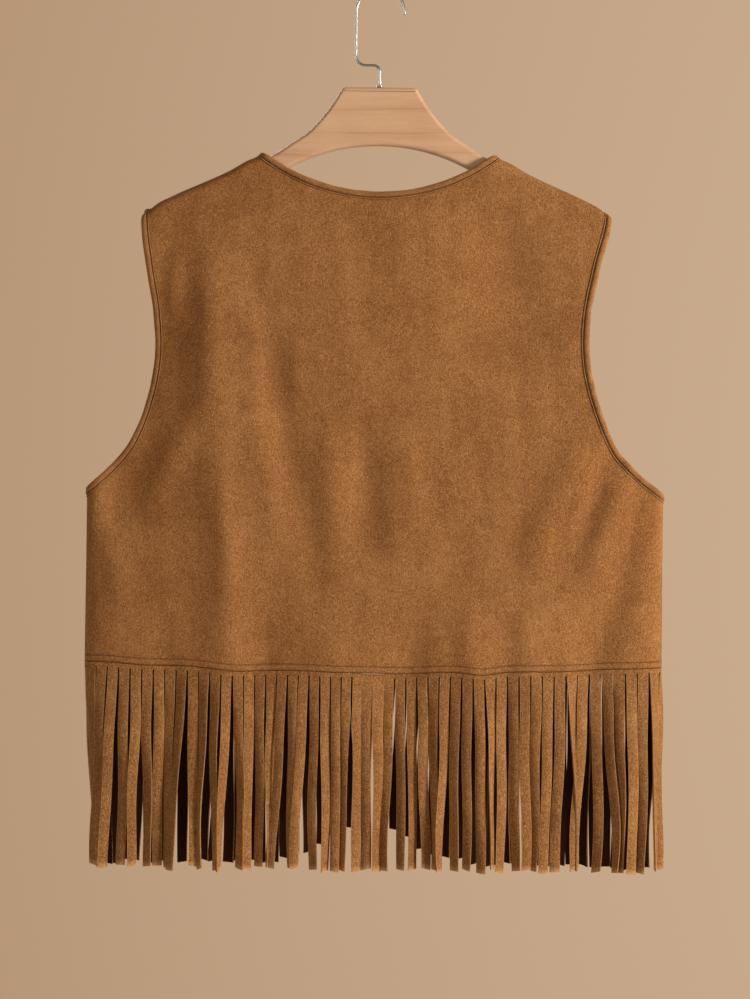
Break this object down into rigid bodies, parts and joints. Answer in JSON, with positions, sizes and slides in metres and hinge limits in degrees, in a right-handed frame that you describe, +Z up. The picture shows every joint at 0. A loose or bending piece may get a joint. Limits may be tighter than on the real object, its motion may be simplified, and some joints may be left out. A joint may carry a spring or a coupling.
{
  "type": "fringe vest on a hanger",
  "caption": "Sleeveless suede vest with bound neck and armholes and a long cut fringe under the hem, hanging on a flat wooden hanger with a wire hook.",
  "frame": {"origin": "inside top of the hook, where the rail that holds the hanger touches it", "axes": "+Z up, -Y the way the vest's back faces, +Y the way its open front faces, +X the wearer's right"},
  "size_m": [0.5249, 0.0613, 0.7958],
  "materials": {
    "suede": "soft brushed nap, tan",
    "suede_binding": "soft brushed nap, tan, folded and stitched",
    "suede_fringe": "soft brushed nap with raw cut edges",
    "hanger_wood": "satin clear lacquer",
    "hook_chrome": "polished"
  },
  "bodies": {
    "root": {"back_panel": "suede", "left_front": "suede", "right_front": "suede", "neck_binding": "suede_binding", "left_armhole_binding": "suede_binding", "right_armhole_binding": "suede_binding", "back_fringe": "suede_fringe", "left_front_fringe": "suede_fringe", "right_front_fringe": "suede_fringe", "hanger": "hanger_wood", "hook": "hook_chrome", "hook_ferrule": "hook_chrome"}
  },
  "joints": []
}
